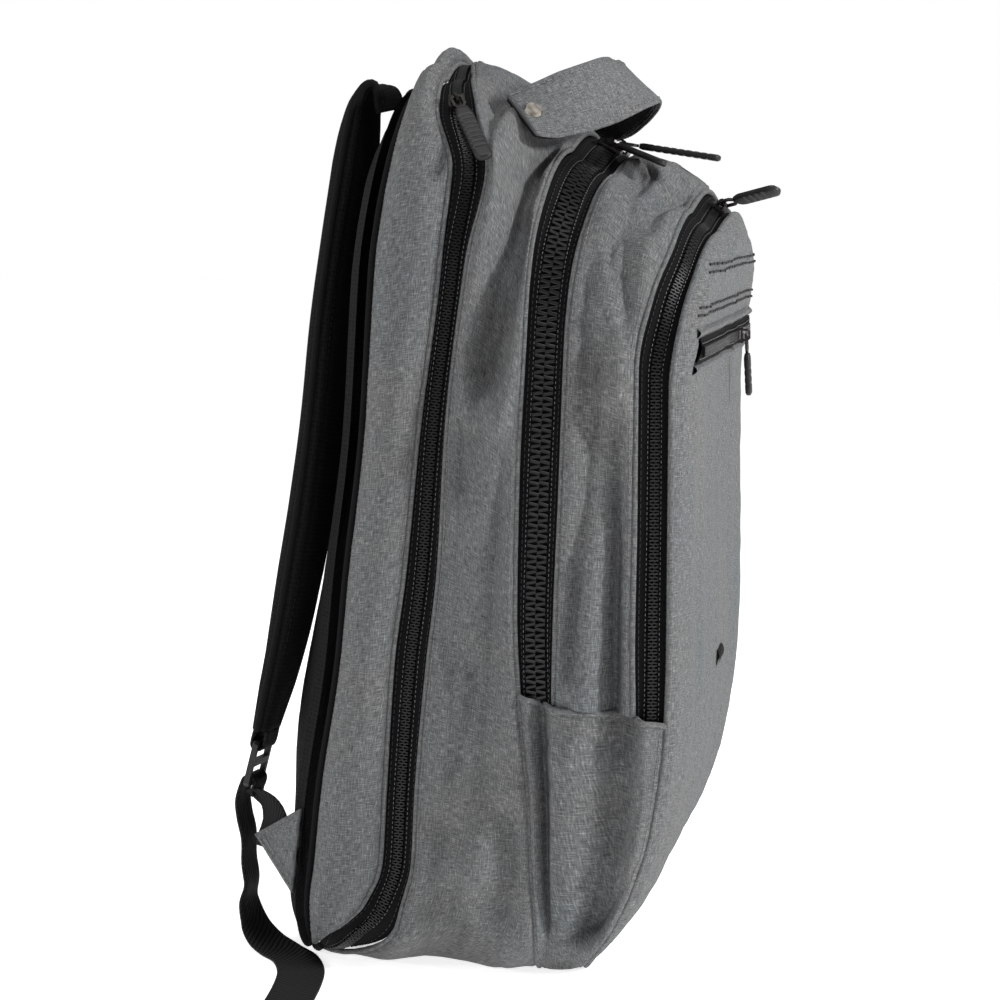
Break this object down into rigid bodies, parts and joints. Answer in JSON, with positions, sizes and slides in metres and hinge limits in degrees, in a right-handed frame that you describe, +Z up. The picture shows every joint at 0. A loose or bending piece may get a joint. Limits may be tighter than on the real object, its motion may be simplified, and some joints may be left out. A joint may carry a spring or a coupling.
{
  "type": "laptop backpack",
  "caption": "Soft grey cloth backpack that stands on its base, with a padded laptop compartment, curved zips, a short top handle, padded black shoulder straps and loose webbing tails.",
  "frame": {"origin": "on the floor under the flat of the base, halfway across the bag", "axes": "+Z up from the base to the handle, -Y toward the front pocket, +Y toward the shoulder straps, X across the bag"},
  "size_m": [0.4828, 0.2818, 0.4834],
  "materials": {
    "body_cloth": "heathered mid-grey woven cloth",
    "padded_mesh": "black knitted mesh over padding",
    "zip_tape": "black woven tape",
    "zip_coil": "black nylon coil",
    "webbing": "black ribbed webbing",
    "buckle_plastic": "black moulded plastic",
    "pull_rubber": "dark moulded rubber",
    "dark_metal": "dark plated metal",
    "rivet_metal": "pewter-toned plated brass"
  },
  "bodies": {
    "bag": {"back_panel": "padded_mesh", "laptop_gusset": "body_cloth", "laptop_zip_tape": "zip_tape", "laptop_zip_coil": "zip_coil", "main_zip_tape": "zip_tape", "main_zip_coil": "zip_coil", "front_zip_tape": "zip_tape", "front_zip_coil": "zip_coil", "main_gusset": "body_cloth", "mid_gusset": "body_cloth", "base_boot": "body_cloth", "front_pocket": "body_cloth", "laptop_slider": "dark_metal", "main_near_slider": "dark_metal", "main_far_slider": "dark_metal", "front_slider": "dark_metal", "pocket_zip_tape": "zip_tape", "pocket_zip_coil": "zip_coil", "pocket_slider": "dark_metal", "front_patch": "webbing", "handle_top": "body_cloth", "handle_under": "webbing", "handle_rivet_left": "rivet_metal", "handle_rivet_right": "rivet_metal", "shoulder_strap_left": "padded_mesh", "strap_loop_left": "webbing", "ladder_lock_left": "buckle_plastic", "strap_wing_left": "body_cloth", "lower_web_left": "webbing", "shoulder_strap_right": "padded_mesh", "strap_loop_right": "webbing", "ladder_lock_right": "buckle_plastic", "strap_wing_right": "body_cloth", "lower_web_right": "webbing"},
    "laptop_pull": {"laptop_bail": "dark_metal", "laptop_grip": "pull_rubber"},
    "main_near_pull": {"main_near_bail": "dark_metal", "main_near_grip": "pull_rubber"},
    "main_far_pull": {"main_far_bail": "dark_metal", "main_far_grip": "pull_rubber"},
    "front_pull": {"front_bail": "dark_metal", "front_grip": "pull_rubber"},
    "pocket_pull": {"pocket_bail": "dark_metal", "pocket_grip": "pull_rubber"}
  },
  "joints": [
    {"name": "laptop_pull_swing", "type": "hinge", "parent": "bag", "child": "laptop_pull", "pos_m": [-0.10174, 0.0105, 0.45582], "axis": [-0.3538, 0.9085, -0.2226], "range_deg": [0, 150]},
    {"name": "main_near_pull_swing", "type": "hinge", "parent": "bag", "child": "main_near_pull", "pos_m": [-0.0151, -0.05793, 0.43355], "axis": [-0.6383, 0.7073, 0.3037], "range_deg": [0, 35]},
    {"name": "main_far_pull_swing", "type": "hinge", "parent": "bag", "child": "main_far_pull", "pos_m": [0.0151, -0.05793, 0.43355], "axis": [-0.9902, -0.121, 0.0704], "range_deg": [0, 35]},
    {"name": "front_pull_swing", "type": "hinge", "parent": "bag", "child": "front_pull", "pos_m": [-0.02296, -0.11967, 0.40007], "axis": [-0.7013, 0.5843, 0.4084], "range_deg": [0, 120]},
    {"name": "pocket_pull_swing", "type": "hinge", "parent": "bag", "child": "pocket_pull", "pos_m": [0.034, -0.12747, 0.326], "axis": [-0.9988, 0, -0.0499], "range_deg": [0, 150]}
  ]
}
